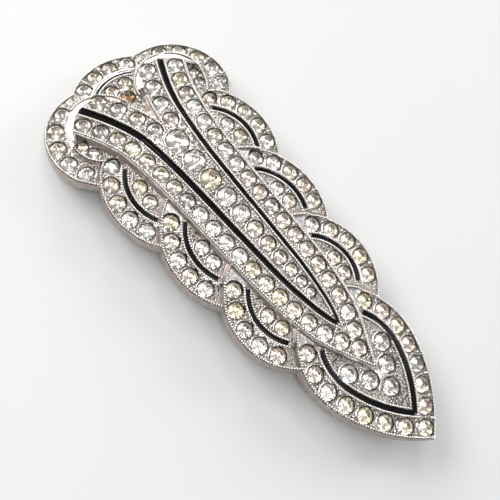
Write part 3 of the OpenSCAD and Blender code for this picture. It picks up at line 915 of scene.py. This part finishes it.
def bead(bm, p, r, z, sides):
    """A small dome: its foot and sides are darkened with painted shade, its top keeps the full colour."""
    rings = [circle(p, r * 1.1, z - 0.3 * r, sides), circle(p, r, z + 0.1 * r, sides),
             circle(p, r * 0.82, z + 0.45 * r, sides), circle(p, r * 0.6, z + 0.85 * r, sides)]
    rows = stack(bm, rings, 0, caps=False)
    top = bm.verts.new((p.x, p.y, z + 1.1 * r))
    for i in range(sides):
        bm.faces.new((rows[-1][i], rows[-1][(i + 1) % sides], top))
    bm.faces.new(list(reversed(rows[0])))
    # Painted shade: the foot rings dark, the top at full colour
    bead_shade_tone = bm.loops.layers.float_color["painted_bead_shade"]
    for row, shade in zip(rows + [[top]], BEAD_PAINTED_SHADES):
        for v in row:
            for loop in v.link_loops:
                loop[bead_shade_tone] = (shade, shade * 0.985, shade * 0.96, 1.0)


BEAD_PITCH, BEAD_R, LINE_BEAD_R = 0.33, 0.175, 0.185
# Painted shade of a bead's rings, from its foot to its top
BEAD_PAINTED_SHADES = (0.10, 0.10, 0.75, 1.0, 1.0)
BEAD_SPREAD, GRAIN_SPREAD = (0.93, 1.05), (0.85, 1.15)
RIM_IN, LINE_OUT, SEAT_CLEAR = 0.19, 0.15, 0.1
border = []


def mill(line, z, where, r=BEAD_R):
    """A row of beads along a line, on both sides of the clip, where the named part is uppermost."""
    for p in spread(line, max(1, round(length(line) / (BEAD_PITCH * r / BEAD_R)))):
        if surface(p)[0] not in where:
            continue
        if any((p - q).length < e / 2 + SEAT_CLEAR for _, q, e, _ in seats):
            continue
        height = z(p) if callable(z) else z
        for side in (1, -1):
            border.append((Vector((side * p.x, p.y)), r * rng.uniform(*BEAD_SPREAD), height))


def rim_height(k, p):
    return level(k) + (rise(k - 1, p) if k in SIDES else 0.0) + 0.05


# Each lobe's rim: lobe, first and last angle, steps
rims = [(CROWN, 100, 80, 90)] + [(k, 130, -75, 90) for k in (SHOULDER,) + SIDES] + [(CROWN, 80, 50, 30)]
for k, a0, a1, steps in rims:
    mill(arc(lobe_c(k), lobe_edge(k) - RIM_IN, a0, a1, steps), lambda p: rim_height(k, p), ("lobe %d" % k,))
mill(beside(TIP_RIM, RIM_IN), lambda p: TIP_LEVEL + rise(SIDES[-1], p) + 0.05, ("tip",))
mill([p for p in beside(LEAF_EDGE, -0.18) if p.x > 0], LEAF_H + 0.06, ("leaf",))
mill(beside(INNER_EDGE, 0.18), BEND_Z + 0.02, ("panel",))


def end_height(p):
    """Height of the leaf end's border, which climbs from the field to the sloping rim."""
    a = math.degrees(math.atan2(p.y - END.y, p.x - END.x))
    t = min(1.0, max(0.0, (a + 30) / 50))
    return END_TOP + 0.03 + (LEAF_H - END_DROP - END_TOP) * t * t * (3 - 2 * t)


mill(arc(END, END_R - 0.18, 168, -76, 120), end_height, ("end",))
n = len(long_line) - 1
for side, z, where in ((1, LEAF_H + 0.04, ("leaf",)), (-1, BEND_Z + 0.02, ("panel",))):
    line = []
    for i, p in enumerate(long_line):
        half = (LINE_LOW_W + (LINE_TOP_W - LINE_LOW_W) * i / n) / 2
        line.append(p + across(long_line, i) * side * (half + LINE_OUT))
    mill([p for p in line if p.x > 0.1], z, where, LINE_BEAD_R)
for k in SIDES:
    lobe, field = "lobe %d" % k, "field %d" % k
    mill(line_arc(k, field_r(k) + 0.17, 60, -2), field_top(k) + 0.04, (lobe, field))
    mill(line_arc(k, field_r(k) - ARC_W - LINE_OUT, 60, -2), field_top(k) + 0.02, (field,))
mill(arc(lobe_c(CROWN), enamel_r(CROWN) - 0.36, CROWN_FIRST, 90, 40), field_top(CROWN) + 0.02, ("field 0",))
mill(arc(lobe_c(CROWN), field_r(CROWN) + 0.1, CROWN_FIRST + 2, 90, 40), field_top(CROWN) + 0.05,
     ("lobe 0", "lobe 1", "field 0"))
mill(tip_arc(TIP_LINE - TIP_W / 2 - LINE_OUT), TIP_TOP + 0.04, ("tip", "tip field"))
mill(tip_arc(TIP_LINE + TIP_W / 2 + 0.16), TIP_TOP + 0.02, ("tip", "tip field"))


def bead_piece(name, beads, sides):
    bm = bmesh.new()
    # The colour layer of painted shade on the beads
    bm.loops.layers.float_color.new("painted_bead_shade")
    for p, r, z in beads:
        bead(bm, p, r, z, sides)
    return new_piece(name, bm, (bead_metal,))


borders = bead_piece("milled_borders", border, 6)

# Grains raised from the bed on both sides of the gap between two neighbouring stones:
# how far from it as a share of the stone's diameter, and radius
PAIR_GRAINS = ((0.36, 0.2), (0.52, 0.13))
NEIGHBOUR_GAP, SAME_LEVEL = 0.7, 0.2
grains = []
for _, p, d, z in seats:
    for _, q, e, h in seats:
        far = (q - p).length >= (d + e) / 2 + NEIGHBOUR_GAP
        if q is p or far or abs(h - z) >= SAME_LEVEL or (q.x, q.y) < (p.x, p.y):
            continue
        mid, t = (p + q) / 2, (q - p).normalized()
        for side in (1, -1):
            for off, r in PAIR_GRAINS:
                g = mid + Vector((t.y, -t.x)) * side * d * (off + rng.uniform(-0.02, 0.02))
                if abs(surface(g)[1] - z) < 0.02:
                    grains.append((g, r * rng.uniform(*GRAIN_SPREAD), z))

# Beads by the square millimetre they lie in, so that neighbours are found fast
cells = {}


def cell(p):
    return int(p.x // 1.0), int(p.y // 1.0)


def close_to(g):
    cx, cy = cell(g)
    return [b for i in (-1, 0, 1) for j in (-1, 0, 1) for b in cells.get((cx + i, cy + j), ())]


def clear_of(g, r):
    """Whether a grain keeps off every seat and every other bead."""
    return (all((g - p).length >= d / 2 + SEAT_CLEAR + r for _, p, d, z in seats)
            and all((g - p).length >= r + q for p, q, z in close_to(g)))


def on_shoulder(where, m):
    """Whether a place lies on the smooth shoulder of a lobe or of the tip."""
    if where == "tip":
        return rise(SIDES[-1], m) > BAND_H
    return where[:4] == "lobe" and int(where[-1]) in SIDES[1:] and rise(int(where[-1]) - 1, m) > BAND_H


for b in border + grains:
    cells.setdefault(cell(b[0]), []).append(b)
enamel_lines = long_line + tip_arc(TIP_LINE)
for k in SIDES + (CROWN,):
    enamel_lines += line_arc(k, enamel_r(k), 30)
# Small grains strewn over what is left of the bed
GRAIN_TRIES, GRAIN_R, HALF_W, TIP_Y = 40000, (0.06, 0.13), 13.0, 0.6
LINE_CLEAR, EDGE_CLEAR, WALL_CLEAR, WEB_CLEAR = 0.5, 0.3, 0.55, 1.0
for _ in range(GRAIN_TRIES):
    g = Vector((rng.uniform(-HALF_W, HALF_W), rng.uniform(TIP_Y, CLIP)))
    where, z = surface(g)
    r = rng.uniform(*GRAIN_R)
    m = Vector((abs(g.x), g.y))
    if not where or where == "end" and (m - END).length > END_R - END_RIM - 0.1 and m.y > END.y - 1:
        continue
    if not clear_of(g, r) or any((m - q).length < LINE_CLEAR for q in enamel_lines):
        continue
    if any(surface(g + turn(a, EDGE_CLEAR))[0] != where for a in range(0, 360, 60)):
        continue
    if any(lobe_edge(k) < (m - lobe_c(k)).length < lobe_edge(k) + BAND_W + r for k in SIDES):
        continue
    if where not in ("leaf", "panel") and any(surface(g + turn(a, WALL_CLEAR))[0] == "leaf"
                                              for a in range(0, 360, 45)):
        continue
    if on_shoulder(where, m) or (m - WEB).length < WEB_CLEAR:
        continue
    b = (g, r, z - 0.35 * r)
    grains.append(b)
    cells.setdefault(cell(g), []).append(b)
# The grains take the same painted shade at their feet
bed_grains = bead_piece("bed_grains", [(p, r, z - 0.1 * r) for p, r, z in grains], 5)
for piece in (borders, bed_grains):
    finish_shape(piece, cuts=False)
    shade_smooth(piece)
    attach(piece, "root")
    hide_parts("plate")

# Stones

# Foil colours at the middle and at the rim of a stone
CLEAR = ((0.96, 0.95, 0.94), (0.87, 0.83, 0.77))
STRAW = ((0.90, 0.87, 0.82), (0.84, 0.76, 0.63))
YELLOW = ((0.91, 0.87, 0.77), (0.85, 0.77, 0.58))
PEACH = ((0.88, 0.825, 0.765), (0.79, 0.70, 0.61))
GREY = ((0.80, 0.785, 0.77), (0.66, 0.63, 0.60))
AMBER = ((0.66, 0.52, 0.36), (0.50, 0.35, 0.20))
CENTRE_TINTS = (CLEAR, CLEAR, YELLOW, CLEAR, CLEAR, STRAW, PEACH, PEACH, STRAW, GREY, GREY)
# How often clear, straw, yellow, peach and grey foil come: in the upper rows, and towards the tip
USUAL, LOW_DOWN, LOW_FROM = (6, 4, 1.5, 1.6, 1.2), (2, 7, 3, 3, 1.5), 0.45 * CLIP
MOST_LEAN, SUNK = 2.5, 0.04
cut = random.Random(4)


def tint_of(node, p):
    """A stone's foil: listed down the middle, drawn by chance in the rows."""
    if node.startswith("centre_stone"):
        return CENTRE_TINTS[int(node.split("_")[-1]) - 1]
    if node == "crown_stones" and p.x == 0 and p.y < lobe_c(CROWN).y + inner_r(CROWN) - INNER_D / 2:
        return AMBER
    return cut.choices((CLEAR, STRAW, YELLOW, PEACH, GREY), USUAL if p.y > LOW_FROM else LOW_DOWN)[0]


def brilliant(bm, p, d, z, tint, spin, lean):
    """A cut stone: table, stars, bezels, upper halves, girdle, lower halves and mains."""
    r = d / 2 - 0.06
    top, girdle, culet = 0.15 * d, -0.04 * d, -0.46 * d
    rot = lean @ Matrix.Rotation(spin, 3, "Z")
    colour = bm.loops.layers.float_color["foil_tint"]

    def corner(radius, angle, height):
        q = rot @ Vector((*turn(angle, radius), height))
        return bm.verts.new(Vector((p.x, p.y, z)) + q)

    table = [corner(0.56 * r, 22.5 + 45 * k, top) for k in range(8)]
    mid = [corner(0.80 * r, 45 * k, top * 0.62) for k in range(8)]
    upper = [corner(r, 22.5 * k, 0.0) for k in range(16)]
    lower = [corner(r, 22.5 * k, girdle) for k in range(16)]
    low = [corner(0.30 * r, 45 * k, girdle + (culet - girdle) * 0.72) for k in range(8)]
    point = corner(0, 0, culet)
    crown, back = [table], []
    for k in range(8):
        j = (k + 1) % 8
        crown += [(table[k - 1], mid[k], table[k]), (table[k], mid[k], upper[2 * k + 1], mid[j]),
                  (mid[k], upper[2 * k], upper[2 * k + 1]), (mid[k], upper[2 * k - 1], upper[2 * k])]
        back += [(point, low[j], lower[2 * k + 1], low[k]), (low[k], lower[2 * k + 1], lower[2 * k]),
                 (low[k], lower[2 * k], lower[2 * k - 1])]
    crown += [(upper[k], lower[k], lower[(k + 1) % 16], upper[(k + 1) % 16]) for k in range(16)]
    centre, rim = tint
    for mat, faces in ((GLASS_MAT, crown), (FOIL_MAT, back)):
        for verts in faces:
            f = bm.faces.new(verts)
            f.material_index = mat
            for loop in f.loops:
                far = min(1.0, (loop.vert.co.xy - p).length / r)
                loop[colour] = [c + (e - c) * far ** 1.5 for c, e in zip(centre, rim)] + [1.0]


by_node = {}
for seat in seats:
    by_node.setdefault(seat[0], []).append(seat)
for node, group in by_node.items():
    bm = bmesh.new()
    bm.loops.layers.float_color.new("foil_tint")
    for _, p, d, z in group:
        tint = tint_of(node, p)
        lean_x, lean_y = [Matrix.Rotation(math.radians(cut.uniform(-MOST_LEAN, MOST_LEAN)), 3, axis)
                          for axis in ("X", "Y")]
        brilliant(bm, p, d, z - SUNK, tint, cut.uniform(0, math.pi / 4), lean_x @ lean_y)
    bmesh.ops.recalc_face_normals(bm, faces=bm.faces)
    piece = new_piece(node + "_cut", bm, (glass, foil))
    finish_shape(piece, cuts=False)
    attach(piece, "root")
    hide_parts(node)


# Enamel

def enamel_strip(bm, line, w0, w1, top):
    """A line of enamel with a softly rounded top."""
    n = len(line) - 1
    floor = top - ENAMEL_T + 0.01
    rows = []
    for i, p in enumerate(line):
        w = (w0 + (w1 - w0) * i / n) / 2 - 0.02
        s = across(line, i)
        half = [(w, floor), (w, top - 0.08), (w * 0.82, top - 0.02), (w * 0.45, top + 0.02)]
        profile = [(-u, z) for u, z in half] + [(0, top + 0.035)] + half[::-1]
        rows.append([bm.verts.new(Vector((p.x + s.x * u, p.y + s.y * u, z))) for u, z in profile])
    sweep(bm, rows, lambda row, edge: 0)


def enamel_piece(name, node, build, *values, left=False):
    bm = bmesh.new()
    build(bm, *values)
    if left:
        mirror(bm)
    bmesh.ops.recalc_face_normals(bm, faces=bm.faces)
    piece = new_piece(name, bm, (enamel,))
    finish_shape(piece)
    shade_smooth(piece, 50)
    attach(piece, "root")
    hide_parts(node)


def chevron(bm):
    line = tip_arc(TIP_LINE, 0.03)
    for half in (line, mirrored(line)):
        enamel_strip(bm, half, TIP_W, TIP_W, TIP_TOP)


ENAMEL_GAP_A = 0.2
CROWN_LINE_DROP = 0.1
leaf_line = [p for p in long_line if p.x > 0.02]
crown_line = line_arc(CROWN, THIN_R, 40, ENAMEL_GAP_A)
for side in ("right", "left"):
    left = side == "left"
    enamel_piece("long_line_" + side, "enamel_leaf_" + side, enamel_strip, leaf_line, LINE_LOW_W, LINE_TOP_W,
                 LEAF_H, left=left)
    for n, k in enumerate(SIDES, 1):
        enamel_piece("side_arc_%d_%s" % (n, side), "enamel_side_%d_%s" % (n, side), enamel_strip,
                     line_arc(k, enamel_r(k), 40, ENAMEL_GAP_A), ARC_W, ARC_W, field_top(k), left=left)
enamel_piece("crown_arc", "enamel_crown", enamel_strip, crown_line, THIN_W, THIN_W,
             field_top(CROWN) - CROWN_LINE_DROP)
enamel_piece("tip_chevron", "enamel_tip", chevron)

# Back clip keeps its shape from the source

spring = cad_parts["back_clip"]
for slot in spring.material_slots:
    slot.material = spring_metal


# Floor, light and camera

def plain_material(name, colour, rough):
    m, n, link, shader = new_material(name)
    set_values(shader, {"Base Color": colour, "Roughness": rough})
    return m


bm = bmesh.new()
bmesh.ops.create_grid(bm, x_segments=1, y_segments=1, size=0.6)
floor = new_piece("floor", bm, (plain_material("pale floor", (0.66, 0.66, 0.655, 1), 0.6),))


def lamp(name, place, aim, size, power):
    data = bpy.data.lights.new(name, "AREA")
    data.shape, data.energy = "RECTANGLE", power
    data.size, data.size_y = size
    o = bpy.data.objects.new(name, data)
    o.location = place
    o.rotation_mode = "QUATERNION"
    o.rotation_quaternion = (Vector(aim) - Vector(place)).to_track_quat("-Z", "Y")
    o.visible_camera = False
    bpy.context.scene.collection.objects.link(o)


# Columns: name, place, aim, width and height, power
lamp("window", (-0.09, 0.30, 0.26), (0, 0, 0), (0.26, 0.18), 1.05)
lamp("low window", (0.17, 0.47, 0.17), (0, 0, 0.01), (0.54, 0.34), 2.0)
lamp("front", (-0.13, -0.07, 0.36), (0, 0, 0), (0.15, 0.15), 0.44)
lamp("crown window", (0.173, 0.173, 0.377), (0, 0.02, 0), (0.09, 0.09), 0.2)
lamp("side", (0.30, -0.10, 0.16), (0, 0, 0), (0.10, 0.16), 0.4)


def studio(backdrop_grey):
    """Soft light that is dark at the horizon and pale overhead, with a plain grey backdrop for the camera."""
    world = bpy.data.worlds.new("studio")
    bpy.context.scene.world = world
    world.use_nodes = True
    n, link = world.node_tree.nodes, world.node_tree.links.new
    coord, split, ramp = add_node(n, "TexCoord"), add_node(n, "SeparateXYZ"), add_node(n, "ValToRGB")
    sky, backdrop = n["Background"], add_node(n, "Background")
    which, choose = add_node(n, "LightPath"), add_node(n, "MixShader")
    link(coord.outputs["Generated"], split.inputs[0])
    link(split.outputs["Z"], ramp.inputs["Fac"])
    link(ramp.outputs["Color"], sky.inputs["Color"])
    ramp.color_ramp.elements[0].color = (0.06, 0.06, 0.062, 1)
    ramp.color_ramp.elements[1].color = (0.80, 0.81, 0.83, 1)
    for at, v in ((0.35, 0.12), (0.70, 0.30), (0.92, 0.36)):
        ramp.color_ramp.elements.new(at).color = (v, v, v * 1.02, 1)
    sky.inputs["Strength"].default_value = 1.0
    backdrop.inputs["Color"].default_value = (backdrop_grey, backdrop_grey, backdrop_grey, 1)
    link(which.outputs["Is Camera Ray"], choose.inputs["Fac"])
    link(sky.outputs[0], choose.inputs[1])
    link(backdrop.outputs[0], choose.inputs[2])
    link(choose.outputs[0], n["World Output"].inputs["Surface"])


studio(0.70)
bpy.context.scene.view_settings.view_transform = "Standard"

# The camera: its turn and place in millimetres, seen from a point on the clip's middle line
TURN = Vector((2.7011151, -0.9934623, 0.5109192))
SHIFT = Vector((-8.1078667, -10.5896934, 101.0377625))
SEEN_FROM = Vector((0, -13.63, -2.85))
FOCUS_PX, PHOTO_PX, SENSOR = 803.019, 500, 36.0
turned = Quaternion(TURN.normalized(), TURN.length).to_matrix()
see = turned.to_4x4()
see.translation = (SHIFT + turned @ SEEN_FROM) * MM
camera = bpy.data.objects.new("camera", bpy.data.cameras.new("camera"))
camera.data.sensor_width, camera.data.lens = SENSOR, FOCUS_PX / PHOTO_PX * SENSOR
camera.data.clip_start, camera.data.clip_end = 0.01, 5.0
camera.matrix_world = see.inverted() @ Matrix.Diagonal((1, -1, -1, 1))
bpy.context.scene.collection.objects.link(camera)
bpy.context.scene.camera = camera
